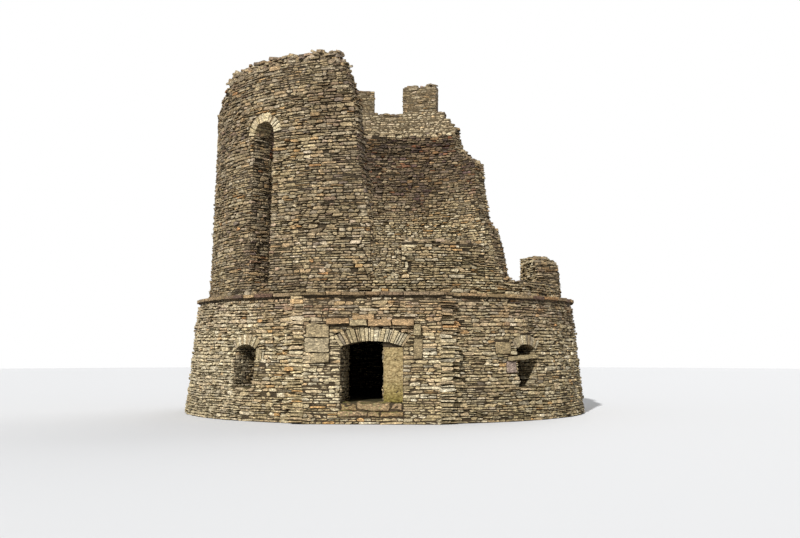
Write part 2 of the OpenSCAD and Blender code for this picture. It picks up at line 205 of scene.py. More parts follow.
class Stones:
    """Collects thin stones, each a centre, three axes and sizes, to become one mesh."""

    def __init__(self, seed):
        self.rng = np.random.default_rng(seed)
        self.rows = []

    def add(self, centre, along, up, out, half_long, half_high, proud, back, look):
        """look is (brown, pale, iron)."""
        self.rows.append((*centre, *along, *up, *out, half_long, half_high, proud, back, *look))

    def mesh(self, name, material, slot_name):
        """Builds the stones as rounded blocks with eight-sided outlines and uneven faces."""
        data = np.array(self.rows)
        count, rng = len(data), self.rng
        centre, along, up, out = (data[:, None, i : i + 3] for i in (0, 3, 6, 9))
        half_long, half_high, proud, back = (data[:, None, i] for i in (12, 13, 14, 15))
        cut_long = np.minimum(0.5 * half_long, rng.uniform(0.004, 0.075, (count, SIDES)))
        cut_high = np.minimum(0.6 * half_high, rng.uniform(0.002, 0.035, (count, SIDES)))
        on_end = np.array([1, 1, 0, 0, 1, 1, 0, 0])
        x = np.array([1, 1, 1, -1, -1, -1, -1, 1]) * (half_long - np.where(on_end, 0, cut_long))
        y = np.array([-1, 1, 1, 1, 1, -1, -1, -1]) * (half_high - np.where(on_end, cut_high, 0))
        wedge = np.clip(rng.normal(0, 0.17, (count, 1)), -0.36, 0.36)
        y = y * (1 + wedge * x / half_long) + rng.normal(0, 0.005, y.shape)
        x = x + y * rng.normal(0, 0.3, (count, 1)) + rng.normal(0, 0.009, x.shape)
        inset = np.minimum(rng.uniform(0.002, 0.012, (count, SIDES)), 0.3 * half_high)
        front_x = x - np.sign(x) * inset * 1.5
        front_y = y - np.sign(y) * inset
        depth = np.maximum(proud - rng.uniform(0.0, 0.016, (count, SIDES)), -0.02)
        tilt = rng.normal(0, 0.035, (count, 1)) * front_y / np.maximum(half_high, 0.02) * 0.25
        depth = depth + tilt + rng.normal(0, 0.02, (count, 1)) * front_x
        middle = proud + rng.uniform(-0.002, 0.01, (count, 1))
        mid_x = half_long * rng.uniform(-0.3, 0.3, (count, 1))
        mid_y = half_high * rng.uniform(-0.3, 0.3, (count, 1))
        rings = [
            centre + along * a[..., None] + up * b[..., None] + out * c[..., None]
            for a, b, c in ((x, y, -back), (front_x, front_y, depth), (mid_x, mid_y, middle))
        ]
        verts = np.concatenate(rings, axis=1).reshape(-1, 3)
        verts[:, 2] = np.maximum(verts[:, 2], 0.0)
        i = np.arange(SIDES)
        j = (i + 1) % SIDES
        base = np.arange(count)[:, None, None] * PER_STONE
        quads = np.stack([i, j, j + SIDES, i + SIDES], 1)[None] + base
        fans = np.stack([i + SIDES, j + SIDES, np.full(SIDES, 2 * SIDES)], 1)[None] + base
        faces = quads.reshape(-1, 4).tolist() + fans.reshape(-1, 3).tolist()
        looks = (rng.random(count), rng.random(count), *data[:, 16:].T)
        return make_piece(name, verts.tolist(), faces, material, False, looks, PER_STONE)


# Places in the outer face that blocks hold, each (on the panel, low, high, z low, z high).
# Low and high are x on the panel and degrees round on the curved wall.
TAKEN = []
FRONT_Y = -3.0  # all of them stand in front of this
SKIN_R = 5.7  # and further out than this


def is_taken(point):
    """True where a block, a hole or the door's arch stands in the outer face."""
    if point.y > FRONT_Y or math.hypot(point.x, point.y) < SKIN_R:
        return False
    panel = abs(point.x) < PANEL_HALF + 0.01 and point.y < -6.5
    spot = point.x if panel else turn_of(point)
    over = point.z - DOOR_SPRING
    if panel and -0.01 < over < DOOR_RISE + DOOR_RING - ARCH_BOW * spot * spot:
        if abs(spot) < DOOR_WIDTH / 2 + ARCH_SLANT * over:
            return True
    return any(p == panel and low < spot < high and z0 < point.z < z1 for p, low, high, z0, z1 in TAKEN)


def relief(point):
    """How far the joints are open at a place: low where the mortar lies flush."""
    x, y, z = point
    inside = math.hypot(x, y) < HALL_R + 0.2
    on_panel = abs(x) < PANEL_HALF and y < -6.4
    level = (0.55 if on_panel else 1.0) + 0.8 * drift(point, 0.9, 2.6, 0.7)
    if TOP_BED < z < STAGE_TOP and point.length_squared > 36.0:
        level *= 0.25
    if z > LEDGE:
        level *= 0.25
    elif inside and y > 3.0 and STAGE_TOP < z < 6.8:
        level *= 0.6
    if x < -4.0 and y < 0 and z < TOP_BED:  # the weathered left side of the lower stage
        level += 0.4
    if inside and y > 0 and 8.4 < z < LEDGE:  # the open beds high up at the back
        level += 0.3
    if y < -3.5 and (x > 0.3 and STAGE_TOP < z < 5.4 or x < 0.3 and 8.3 < z < 9.8):  # the bare broken front
        level += 0.55
    return min(max(level, 0.12), 1.5)


def beside_panel(point):
    """How far stones stand out next to the panel's edge, so that its step is broken up."""
    aside = abs(point.x) - PANEL_HALF
    if point.y > -6.0 or not 0.0 < aside < 0.5 or point.z > STAGE_TOP:
        return 0.0
    step = max(panel_y(point.z) + point.y, 0.0)
    fill = 0.8 + 1.5 * noise.noise(Vector((point.x * 2.0, 4.0, point.z * 2.4)))
    fill = min(max(fill, 0.85 if point.x < 0 else 0.78), 0.97)
    return step * fill * min(1.0, 1.3 * (1 - aside / 0.5))


# Faces to dress.
class CurvedFace:
    """A round wall's outer or inner face between two angles. A run along it is angle times radius."""

    def __init__(self, radius, start, stop, inward=False):
        self.radius = radius
        self.start = math.radians(start)
        self.length = math.radians(stop - start) * radius
        self.way = 1 if inward else -1

    def surface(self, run, z):
        """The point and normal of the wall's face there, or None where it is open."""
        angle = self.start + run / self.radius
        out = Vector((math.sin(angle), -math.cos(angle), 0))
        origin = out * (self.radius - self.way * REACH)
        origin.z = z
        direction = out * self.way
        point, normal, _, _ = wall_tree.ray_cast(origin, direction, 2 * REACH)
        if point is None or normal.dot(direction) > -0.5 or is_taken(point):
            return None
        if point.y < -6.0 and abs(point.x) < PANEL_HALF + 0.004 and point.z < STAGE_TOP:
            return None  # the flat panel, which has its own face
        return point, normal


class FlatFace:
    """An open upright face of the solids, such as a jamb, a broken end or the door panel."""

    def __init__(self, point, normal, corners):
        self.point, self.normal = point, normal
        self.along = UP.cross(normal).normalized()
        self.up = normal.cross(self.along).normalized()
        runs = [(Vector(p) - point).dot(self.along) for p in corners]
        self.origin = point + self.along * min(runs)
        self.length = max(runs) - min(runs)

    def surface(self, run, z):
        """The point and normal of the face there, or None where it is covered or taken."""
        spot = self.origin + self.along * run + self.up * ((z - self.point.z) / self.up.z)
        hit, normal, _, _ = wall_tree.ray_cast(spot + self.normal * 0.03, -self.normal, 0.06)
        if hit is None or normal.dot(self.normal) < 0.9 or is_taken(spot):
            return None
        cover = solid_tree.ray_cast(spot + self.normal * 0.004, self.normal, 0.10)[0]
        return (spot, self.normal) if cover is None else None


def runs_of(face, z):
    """The stretches of a course that have wall behind them, as pairs of runs."""
    count = max(2, int(face.length / SAMPLE) + 1)
    step = face.length / count
    found, first = [], None
    for i in range(count + 1):
        here = i < count and face.surface((i + 0.5) * step, z) is not None
        if here and first is None:
            first = i
        elif not here and first is not None:
            found.append((edge(face, z, first * step, -1, step), edge(face, z, i * step, 1, step)))
            first = None
    return found


def edge(face, z, run, side, step):
    """Closes in on where a stretch of wall ends."""
    inside, outside = run - side * 0.5 * step, run + side * 0.5 * step
    if outside < 0 or outside > face.length:
        return min(max(run, 0), face.length)
    for _ in range(4):
        mid = (inside + outside) / 2
        if face.surface(mid, z) is not None:
            inside = mid
        else:
            outside = mid
    return (inside + outside) / 2


def lay_wall(stones, face, low, high, long_range, proud_range, zone, joint=0.010, missing=0.015):
    """Fills a face with beds of thin stones between two heights."""
    how = {"long": long_range, "proud": proud_range, "zone": zone, "joint": joint, "missing": missing}
    for z0, z1 in zip(COURSES, COURSES[1:]):
        if z1 <= low + 0.01 or z0 >= high - 0.01:
            continue
        z0, z1 = max(z0, low), min(z1, high)
        for start, end in runs_of(face, (z0 + z1) / 2):
            lay_bed(stones, face, start, end, z0, z1, how)


def lay_bed(stones, face, start, end, z0, z1, how):
    """Lays one stretch of a bed: slabs of one or two thin stones in height."""
    rng = stones.rng
    height = z1 - z0
    least, most = how["long"]
    at = start
    while at < end - 0.03:
        length = max(least + (most - least) * rng.random() ** 1.6, 1.7 * height)
        if end - (at + length) < least * 0.6:
            length = end - at
        two = height > 0.08 and rng.random() < (0.55 if height > 0.11 else 0.2)
        levels = [z0, z0 + height * rng.uniform(0.32, 0.68), z1] if two else [z0, z1]
        for low, high in zip(levels, levels[1:]):
            sub_at = at
            while sub_at < at + length - 0.01:
                part = length if length < 0.3 else length * rng.uniform(0.45, 1.0)
                part = min(part, at + length - sub_at)
                if at + length - sub_at - part < 0.1:
                    part = at + length - sub_at
                put_stone(stones, face, sub_at, sub_at + part, low, high, how)
                sub_at += part
        at += length


def put_stone(stones, face, r0, r1, z0, z1, how):
    """Sets one thin stone on a face, unless it is one of the few that have fallen out."""
    rng = stones.rng
    z = (z0 + z1) / 2
    found = face.surface((r0 + r1) / 2, z)
    if found is None or rng.random() < how["missing"] and beside_panel(found[0]) == 0:
        return
    point, out = found
    along = UP.cross(out).normalized()
    up = out.cross(along).normalized()
    sway = 0.0
    if 0.15 < z < TOWER_TOP - 0.2:
        sway = 0.03 * noise.noise(Vector((point.x * 0.9, point.y * 0.9, z * 0.35)))
    low, high = how["proud"]
    beside = beside_panel(point)
    proud = (low + (high - low) * rng.random()) * relief(point) + beside
    if rng.random() < 0.1 and not TOP_BED < z < STAGE_TOP:
        proud += 0.028
    turn = rng.normal(0, 0.025)
    along, up = along * math.cos(turn) + up * math.sin(turn), up * math.cos(turn) - along * math.sin(turn)
    joint = how["joint"] * (0.55 if z > LEDGE else 1.0)
    half_long = max((r1 - r0 - joint * rng.uniform(0.1, 0.9)) / 2, 0.015)
    if beside > 0:
        half_long += 0.014
        if abs(point.x) - half_long < PANEL_HALF + 0.08:
            longer = 0.02 + 0.17 * proud
            half_long += longer
            point = point - along * math.copysign(longer, point.x)
    half_high = max((z1 - z0 - joint * rng.uniform(0.2, 2.0)) / 2, 0.009)
    look = how["zone"](found[0])
    stones.add(point + up * sway, along, up, out, half_long, half_high, proud, MORTAR_BACK, look)


def flat_faces(names, smallest=0.03):
    """Groups the solids' flat faces, each as (point, normal, corner points)."""
    found = {}
    for name in names:
        mesh = nodes[name].data
        mesh.calc_loop_triangles()
        for tri in mesh.loop_triangles:
            if tri.area < 1e-6:
                continue
            normal = Vector(tri.normal)
            corners = [mesh.vertices[i].co.copy() for i in tri.vertices]
            key = (name, *(round(v, 2) for v in normal), round(corners[0].dot(normal), 2))
            face = found.setdefault(key, [normal, 0.0, []])
            face[1] += tri.area
            face[2] += corners
    return [(corners[0], normal, corners) for normal, area, corners in found.values() if area > smallest]


# Finishes.
class Net:
    """A shader's node tree, with short calls for the nodes that the finishes are made of."""

    def __init__(self, tree):
        self.tree = tree

    def node(self, kind, inputs=(), **settings):
        """A node with its settings, and its inputs as pairs of a socket and what it gets."""
        made = self.tree.nodes.new("ShaderNode" + kind)
        for label, value in settings.items():
            setattr(made, label, value)
        for socket, value in inputs:
            if isinstance(value, bpy.types.NodeSocket):
                self.tree.links.new(value, made.inputs[socket])
            else:
                made.inputs[socket].default_value = linear(value) if isinstance(value, str) else value
        return made

    def math(self, operation, *values, clamp=False):
        return self.node("Math", enumerate(values), operation=operation, use_clamp=clamp).outputs[0]

    def times(self, first, second):
        return self.math("MULTIPLY", first, second)

    def scaled(self, value, factor, more):
        """The value times a factor, and more."""
        return self.math("MULTIPLY_ADD", value, factor, more)

    def mix(self, factor, first, second, blend="MIX"):
        inputs = ((0, factor), (6, first), (7, second))
        return self.node("Mix", inputs, data_type="RGBA", blend_type=blend).outputs[2]

    def dyed(self, colour, dye):
        """The colour, multiplied by another one."""
        return self.mix(1.0, colour, dye, "MULTIPLY")

    def where(self):
        return self.node("TexCoord").outputs["Object"]

    def mapped(self, vector, tall, shift=(0, 0, 0)):
        inputs = (("Vector", vector), ("Scale", (1, 1, tall)), ("Location", shift))
        return self.node("Mapping", inputs).outputs[0]

    def noise(self, scale, tall, detail, rough, offset=0.0):
        """Noise in cells a metre over the object's own coordinates, tall times as fine upwards."""
        spot = self.mapped(self.where(), tall, (offset, offset * 0.7, offset * 1.3))
        inputs = (("Vector", spot), ("Scale", scale), ("Detail", detail), ("Roughness", rough))
        return self.node("TexNoise", inputs).outputs["Fac"]

    def cells(self, scale, tall, feature, output):
        """Cells over the object's own coordinates, bent a little so that no edge is straight."""
        bend = self.noise(9.0, 1, 2.0, 0.6, 12.0).node.outputs["Color"]
        terms = ((0, bend), (1, (0.06, 0.06, 0.06)), (2, self.where()))
        bent = self.node("VectorMath", terms, operation="MULTIPLY_ADD").outputs[0]
        inputs = (("Vector", self.mapped(bent, tall)), ("Scale", scale))
        return self.node("TexVoronoi", inputs, feature=feature).outputs[output]

    def ramp(self, value, stops, kind="LINEAR"):
        """Colours by the value. The first stop holds all below it."""
        made = self.node("ValToRGB", ((0, value),))
        made.color_ramp.interpolation = kind
        points = made.color_ramp.elements
        while len(points) > 1:
            points.remove(points[-1])
        for number, (place, colour) in enumerate(stops):
            point = points.new(place) if number else points[0]
            point.position = place
            point.color = linear(colour) if isinstance(colour, str) else colour
        return made.outputs[0]

    def band(self, value, low, high):
        """0 below low, 1 above high."""
        return self.ramp(value, ((low, grey(0)), (high, grey(1))))

    def attribute(self, name):
        return self.node("Attribute", attribute_name=name).outputs["Fac"]

    def height(self):
        return self.node("SeparateXYZ", ((0, self.where()),)).outputs["Z"]

    def upward(self):
        """How far the surface looks up: 1 for a level top, -1 for what hangs over."""
        normal = self.node("NewGeometry").outputs["Normal"]
        return self.node("SeparateXYZ", ((0, normal),)).outputs["Z"]

    def place(self, effect, **values):
        """A shared effect with its own values. Returns its outputs."""
        return self.node("Group", values.items(), node_tree=effect).outputs


class Finish(Net):
    """The nodes of a new material with one Principled shader."""

    def __init__(self, name, roughness=0.92, specular=0.25):
        self.material = bpy.data.materials.new(name)
        self.material.use_nodes = True
        super().__init__(self.material.node_tree)
        self.shader = self.tree.nodes["Principled BSDF"].inputs
        self.shader["Roughness"].default_value = roughness
        self.shader["Specular IOR Level"].default_value = specular

    def done(self, colour, height, strength, distance):
        """Joins the colour and the bump to the shader."""
        bump = self.node("Bump", (("Strength", strength), ("Distance", distance), ("Height", height)))
        self.tree.links.new(colour, self.shader["Base Color"])
        self.tree.links.new(bump.outputs[0], self.shader["Normal"])
        return self.material


def shared_effect(build, **inputs):
    """A node group from a function that takes a net and its inputs and returns its outputs."""
    tree = bpy.data.node_groups.new(build.__name__, "ShaderNodeTree")
    for label, default in inputs.items():
        kind = "NodeSocketColor" if isinstance(default, tuple) else "NodeSocketFloat"
        tree.interface.new_socket(name=label, in_out="INPUT", socket_type=kind).default_value = default
    made = build(Net(tree), tree.nodes.new("NodeGroupInput").outputs)
    for label in made:
        kind = "NodeSocketFloat" if label == "Height" else "NodeSocketColor"
        tree.interface.new_socket(name=label, in_out="OUTPUT", socket_type=kind)
    end = tree.nodes.new("NodeGroupOutput")
    for label, value in made.items():
        tree.links.new(value, end.inputs[label])
    return tree


# The quarry's colours, each from a share of the stones up.
BUFF = (
    (0.00, "#c4b189"), (0.14, "#cfbf9b"), (0.28, "#b5a27b"), (0.42, "#d6c7a6"), (0.52, "#bfa985"),
    (0.64, "#a5936f"), (0.74, "#cab28a"), (0.82, "#b19a72"), (0.88, "#9a8f78"), (0.93, "#c49d68"),
    (0.96, "#e2d6b8"),
)
BROWN = (
    (0.00, "#a48d6e"), (0.16, "#917d66"), (0.30, "#b39a78"), (0.42, "#87715f"), (0.54, "#9c8669"),
    (0.66, "#77655a"), (0.76, "#ad8a62"), (0.84, "#856a62"), (0.90, "#c2ab86"), (0.95, "#a5704f"),
)


def stone_colours(net, given):
    """Picks one of the quarry's colours for each stone, and shades it stone by stone."""
    pick = net.attribute("pick")
    pale = net.attribute("pale")
    share = net.math("ADD", net.attribute("brown"), given["Brownness"], clamp=True)
    tone = net.mix(share, net.ramp(pick, BUFF, "CONSTANT"), net.ramp(pick, BROWN, "CONSTANT"))
    tone = net.mix(pale, tone, "#ded0ae")
    tone = net.mix(net.attribute("iron"), tone, "#9a5f34")
    shade = net.times(net.scaled(net.attribute("tone"), 0.36, 0.82), given["Brightness"])
    # A negative pale darkens a stone: its own darker tone in most places, painted shadow under the string
    # course.
    stain_and_painted_shade = net.math("ADD", 1.0, net.math("MINIMUM", pale, 0.0))
    return {"Color": net.dyed(tone, net.times(shade, stain_and_painted_shade))}


def bedding_grain(net, given):
    """The sandstone's thin bedding, grit, chips and cracks, as a shade and a height."""
    beds = net.noise(5.0, 9, 6.0, 0.62)
    grit = net.noise(55.0, 1.6, 3.0, 0.7, 3.0)
    blotch = net.noise(11.0, 2, 5.0, 0.6, 9.0)
    chip = net.node("SeparateColor", ((0, net.cells(15.0, 2.0, "F1", "Color")),)).outputs[0]
    crack = net.band(net.cells(15.0, 2.0, "DISTANCE_TO_EDGE", "Distance"), 0.0, 0.16)
    shade = net.scaled(beds, 1.3, 0.35)
    finer = ((grit, 1.1, 0.45), (blotch, 2.2, -0.08), (chip, 0.7, 0.7), (crack, 0.55, 0.45))
    for value, factor, more in finer:
        shade = net.times(shade, net.scaled(value, factor, more))
    shaded = net.dyed(given["Color"], shade)
    rust = net.times(net.band(blotch, 0.58, 0.74), 0.2)
    height = net.scaled(beds, 0.6, grit)
    for value in (crack, chip):
        height = net.math("ADD", height, net.times(value, 0.5))
    return {"Color": net.mix(rust, shaded, net.dyed(shaded, "#d69a5c")), "Height": height}


def lichen_cover(net, given):
    """Pale and yellow-green lichen in spots, and moss where a face looks up."""
    broad = net.noise(0.55, 1, 3.0, 0.6, 21.0)
    spots = net.noise(17.0, 1, 4.0, 0.65, 5.0)
    mossy = net.noise(2.6, 1, 5.0, 0.65, 33.0)
    where = net.times(net.band(broad, 0.42, 0.62), given["Lichen"])
    least = net.math("SUBTRACT", 0.78, net.times(where, 0.34))
    near = net.math("MULTIPLY", net.math("SUBTRACT", spots, least), 9.0, clamp=True)
    lichen = net.mix(net.band(broad, 0.45, 0.7), "#a9a98c", "#93904a")
    covered = net.mix(net.times(near, 0.75), given["Color"], lichen)
    looks_up = net.band(net.upward(), 0.25, 0.8)
    moss = net.times(net.times(looks_up, net.band(mossy, 0.42, 0.6)), given["Moss"])
    return {"Color": net.mix(moss, covered, net.mix(spots, "#3f431f", "#7d7a3a"))}


def damp_dirt_and_painted_underside_shade(net, given):
    """Darkens the foot of the wall and broad patches as damp and dirt, and paints shade on what looks down.
    """
    patches = net.noise(0.9, 0.5, 5.0, 0.6, 14.0)
    foot = net.math("SUBTRACT", 1.0, net.times(net.height(), 0.9), clamp=True)
    dark = net.math("MAXIMUM", net.times(foot, 0.6), net.band(patches, 0.5, 0.72))
    dark = net.times(dark, given["Amount"])
    dirty = net.mix(dark, given["Color"], net.dyed(given["Color"], "#a39a86"))
    # Painted shade: faces that look down are darkened as if shaded from above.
    under = net.band(net.times(net.upward(), -1.0), 0.25, 0.9)
    return {"Color": net.mix(under, dirty, net.dyed(dirty, "#8c8474"))}


def crumbled_lime(net, given):
    """Earthy lime mortar, crumbled and full of small stones."""
    crumbs = net.noise(26.0, 1.8, 6.0, 0.7, 2.0)
    patches = net.noise(1.6, 1, 4.0, 0.6, 8.0)
    tone = net.mix(net.band(crumbs, 0.36, 0.68), given["Dark"], given["Color"])
    tone = net.mix(net.times(net.band(patches, 0.4, 0.7), 0.5), tone, given["Dark"])
    return {"Color": tone, "Height": crumbs}


STONE_COLOURS = shared_effect(stone_colours, Brownness=0.0, Brightness=1.0)
BEDDING_GRAIN = shared_effect(bedding_grain, Color=grey(0.5))
LICHEN_COVER = shared_effect(lichen_cover, Color=grey(0.5), Lichen=0.4, Moss=0.4)
DAMP_DIRT_AND_PAINTED_SHADE = shared_effect(damp_dirt_and_painted_underside_shade, Color=grey(0.5), Amount=0.5)
CRUMBLED_LIME = shared_effect(crumbled_lime, Color=grey(0.5), Dark=grey(0.1))


def stone_material(name, brownness, brightness, lichen, moss, dirt, tint=None):
    """Stone in the quarry's colours, with its grain, dirt, painted shade under what looks down, and lichen.
    """
    net = Finish(name)
    colour = net.place(STONE_COLOURS, Brownness=brownness, Brightness=brightness)["Color"]
    if tint:
        colour = net.dyed(colour, tint)
    grain = net.place(BEDDING_GRAIN, Color=colour)
    # dirty holds the damp and dirt and also the painted shade on faces that look down.
    dirty = net.place(DAMP_DIRT_AND_PAINTED_SHADE, Color=grain["Color"], Amount=dirt)["Color"]
    cover = net.place(LICHEN_COVER, Color=dirty, Lichen=lichen, Moss=moss)["Color"]
    return net.done(cover, grain["Height"], 0.85, 0.016)


def mortar_material(name, colour, dark):
    """The mortar behind the stones, with some lichen and moss."""
    net = Finish(name)
    lime = net.place(CRUMBLED_LIME, Color=colour, Dark=dark)
    cover = net.place(LICHEN_COVER, Color=lime["Color"], Lichen=0.2, Moss=0.5)["Color"]
    return net.done(cover, lime["Height"], 1.0, 0.03)


def plaster_material():
    """Yellowish lime plaster, worn through in spots, with the coursing showing faintly."""
    net = Finish("door_plaster")
    coarse = net.noise(3.0, 3, 5.0, 0.6, 4.0)
    specks = net.noise(17.0, 1.6, 5.0, 0.75, 6.0)
    lumps = net.noise(9.0, 1.2, 3.0, 0.7, 17.0)
    tone = net.mix(net.band(coarse, 0.35, 0.65), "#7d6e49", "#a18c61")
    for mask, colour in (
        (net.band(lumps, 0.42, 0.62), "#b39c6f"),
        (net.band(specks, 0.5, 0.62), "#5f4d2e"),
        (net.band(specks, 0.46, 0.36), "#cdb88a"),
    ):
        tone = net.mix(mask, tone, colour)
    damp = net.math("MULTIPLY", net.math("SUBTRACT", 1.3, net.height()), 1.3, clamp=True)
    tone = net.mix(damp, tone, net.dyed(tone, "#c9cf8d"))
    cover = net.place(LICHEN_COVER, Color=tone, Lichen=0.5, Moss=0.2)["Color"]
    return net.done(cover, net.scaled(coarse, 1.4, specks), 0.8, 0.015)


LOWER_STONE = stone_material("lower_rubble_stone", 0.0, 1.23, 0.5, 0.4, 0.4)
DRUM_STONE = stone_material("drum_rubble_stone", 0.0, 1.22, 0.4, 0.45, 0.4)
INNER_STONE = stone_material("inner_face_stone", 0.0, 1.3, 0.25, 0.3, 0.3)
ARCH_STONE = stone_material("arch_stone", 0.0, 1.0, 0.2, 0.15, 0.3)
HOOD_STONE = stone_material("hood_stone", 0.15, 1.22, 0.3, 0.25, 0.4, "#f3f5f5")
BLOCK_STONE = stone_material("smooth_block_stone", 0.05, 1.2, 0.6, 0.1, 0.6, "#f5f3f1")
JAMB_STONE = stone_material("purple_jamb_stone", 0.0, 1.0, 0.2, 0.1, 0.3, "#e9dceb")
STRING_STONE = stone_material("string_course_stone", 0.1, 0.98, 0.3, 0.3, 0.4, "#f9f1e6")
FLAG_STONE = stone_material("flag_stone", 0.1, 1.08, 0.8, 1.0, 0.3, "#fbeedd")
LOWER_MORTAR = mortar_material("lower_mortar", "#6b5b42", "#241d14")
DRUM_MORTAR = mortar_material("drum_mortar", "#5c4f3a", "#1f1912")
PARAPET_MORTAR = mortar_material("parapet_mortar", "#857459", "#4c412f")


# Worn blocks: rounded stones of six sides, each given by its eight corners.
def grid_cube(count):
    """The surface of a cube cut into count lines each way: their indices and the quads."""
    last = count - 1
    index, cells = {}, []
    for spot in np.ndindex(count, count, count):
        if set(spot) & {0, last}:
            index[spot] = len(index)
    for p, q in np.ndindex(last, last):
        for side, flip in ((0, True), (last, False)):
            for axis in range(3):
                ring = []
                for a, b in ((0, 0), (1, 0), (1, 1), (0, 1)):
                    spot = [p + a, q + b]
                    spot.insert(axis, side)
                    ring.append(index[tuple(spot)])
                turned = flip if axis != 1 else not flip
                cells.append(ring[::-1] if turned else ring)
    return np.array(list(index)), np.array(cells)


class Blocks:
    """Collects blocks by their corners, to become one mesh of rounded and worn stones."""

    def __init__(self, seed, inner=6):
        self.rng = np.random.default_rng(seed)
        self.inner = inner  # rows of vertices between a block's rounded edges
        self.rows = []

    def add(self, corners, rounding, wear, pick=None, brown=0.0, pale=0.0, iron=0.0, wander=0.0):
        """corners[i][j][k] runs along, up and out. wander is how far they stray from true."""
        value = self.rng.random() if pick is None else pick
        spots = np.array(corners, float)
        if wander:
            spots += self.rng.normal(0, wander, (2, 2, 1, 3)) * np.array([1, 0.3, 1])
        self.rows.append((spots, rounding, wear, value, self.rng.random(), brown, pale, iron))

    def mesh(self, name, material, slot_name):
        """Builds each block as a rounded cube with worn faces, stretched to its corners."""
        spots, quads = grid_cube(6 + self.inner)
        verts, all_quads = [], []
        for number, (corners, rounding, wear, *_) in enumerate(self.rows):
            ends = [corners.mean(axis=others) for others in ((1, 2), (0, 2), (0, 1))]
            spans = np.array([high - low for low, high in ends])
            sizes = np.linalg.norm(spans, axis=1)
            half = sizes / 2
            r = min(rounding, 0.6 * half.min())
            lines = [
                np.array([-h, -h + 0.35 * r, *np.linspace(-h + r, h - r, self.inner + 2), h - 0.35 * r, h])
                for h in half
            ]
            q = np.stack([line[spots[:, axis]] for axis, line in enumerate(lines)], 1)
            core = np.clip(q, r - half, half - r)
            away = q - core
            away /= np.linalg.norm(away, axis=1, keepdims=True)
            share = ((core + away * r) / half + 1) / 2
            points = np.zeros((len(q), 3))
            for corner in np.ndindex(2, 2, 2):
                weight = np.prod(np.where(corner, share, 1 - share), axis=1)
                points += weight[:, None] * corners[corner]
            shift = number * 3.7
            bump = np.array([
                0.6 * noise.noise(Vector(p * 4.0) + Vector((shift, 0, 0)))
                + 0.6 * noise.noise(Vector(p * 12.0) + Vector((0, shift, 0)))
                for p in points
            ])
            normal = away @ (spans / sizes[:, None])
            verts.append(points + normal * ((bump - 0.25) * wear)[:, None])
            all_quads.append(quads + number * len(spots))
        looks = np.array([row[3:] for row in self.rows], float).T
        points, faces = np.concatenate(verts).tolist(), np.concatenate(all_quads).tolist()
        return make_piece(name, points, faces, material, True, looks, len(spots))


def lay_arch(blocks, turn, width, spring, rise, ring, count, face, back_r, flat, proud, splay, uneven):
    """An arch of count thin stones on edge, from face(z), the wall's front, to back_r, its inside."""
    rng = blocks.rng
    out = out_at(turn)
    side = UP.cross(out)
    radius = (width * width / 4 + rise * rise) / (2 * rise)
    centre = spring + rise - radius
    reach = math.asin(width / 2 / radius)
    gap = 0.005 / radius
    cuts = np.cumsum(rng.uniform(1 - uneven, 1 + uneven, count))
    cuts = np.concatenate([[0], cuts / cuts[-1]]) * 2 * reach - reach
    for a0, a1 in zip(cuts, cuts[1:]):
        tall = ring * rng.uniform(0.92, 1.07)
        lift = proud + rng.uniform(-0.022, 0.016)
        corners = []
        for a in (a0 + gap, a1 - gap):
            column = []
            for r in (-0.004, tall):
                x = radius * math.sin(a) + r * math.sin(splay * a)
                z = centre + radius * math.cos(a) + r * math.cos(splay * a)
                front = face(z) if flat else math.sqrt(face(z) ** 2 - x * x)
                back = math.sqrt(back_r**2 - x * x)
                column.append([side * x + out * depth + UP * z for depth in (back, front + lift)])
            corners.append(column)
        look = {"brown": 0.5} if rng.random() < 0.25 else {"pale": 0.35 * rng.random()}
        blocks.add(corners, rounding=0.011, wear=0.018, pick=0.6 * rng.random(), **look)


def make_arches(seed, turns, name, material, replaced, *shape, flat=False, proud=0.04, splay=1.0, uneven=0.3):
    """Arches at several angles round the tower. shape is lay_arch's width up to its back_r."""
    blocks = Blocks(seed, 1)
    for turn in turns:
        lay_arch(blocks, turn, *shape, flat, proud, splay, uneven)
    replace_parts(blocks.mesh(name, material, "arch_stone"), replaced)


make_arches(
    21, [0], "door_arch_stones", ARCH_STONE, "door_arch", DOOR_WIDTH, DOOR_SPRING, DOOR_RISE, DOOR_RING, 23,
    panel_y, ROOM_R, flat=True, proud=0.028, splay=1.8, uneven=0.6,
)
make_arches(
    22, [BAY_TURN + k * BAY for k in (-1, 1)], "lower_window_arch_stones", ARCH_STONE, "lower_window_arches",
    LOW_WIDTH, LOW_SPRING, LOW_RISE, LOW_RING, 12, stage_r, ROOM_R,
)
make_arches(
    23, [BAY_TURN + k * BAY for k in (-3, -2, -1)], "tall_window_arch_stones", DRUM_STONE,
    "tall_window_arches", TALL_WIDTH, TALL_SPRING, TALL_RISE, TALL_RING, 15, drum_r, HALL_R,
)


def panel_stone(blocks, x0, x1, z0, z1, out, **look):
    """A block in the flat panel, which stands out from it a little."""
    TAKEN.append((True, x0, x1, z0, z1))
    corners = [
        [[Vector((x, -panel_y(z) - depth, z)) for depth in (-0.06, out)] for z in (z0, z1)] for x in (x0, x1)
    ]
    blocks.add(corners, **look)


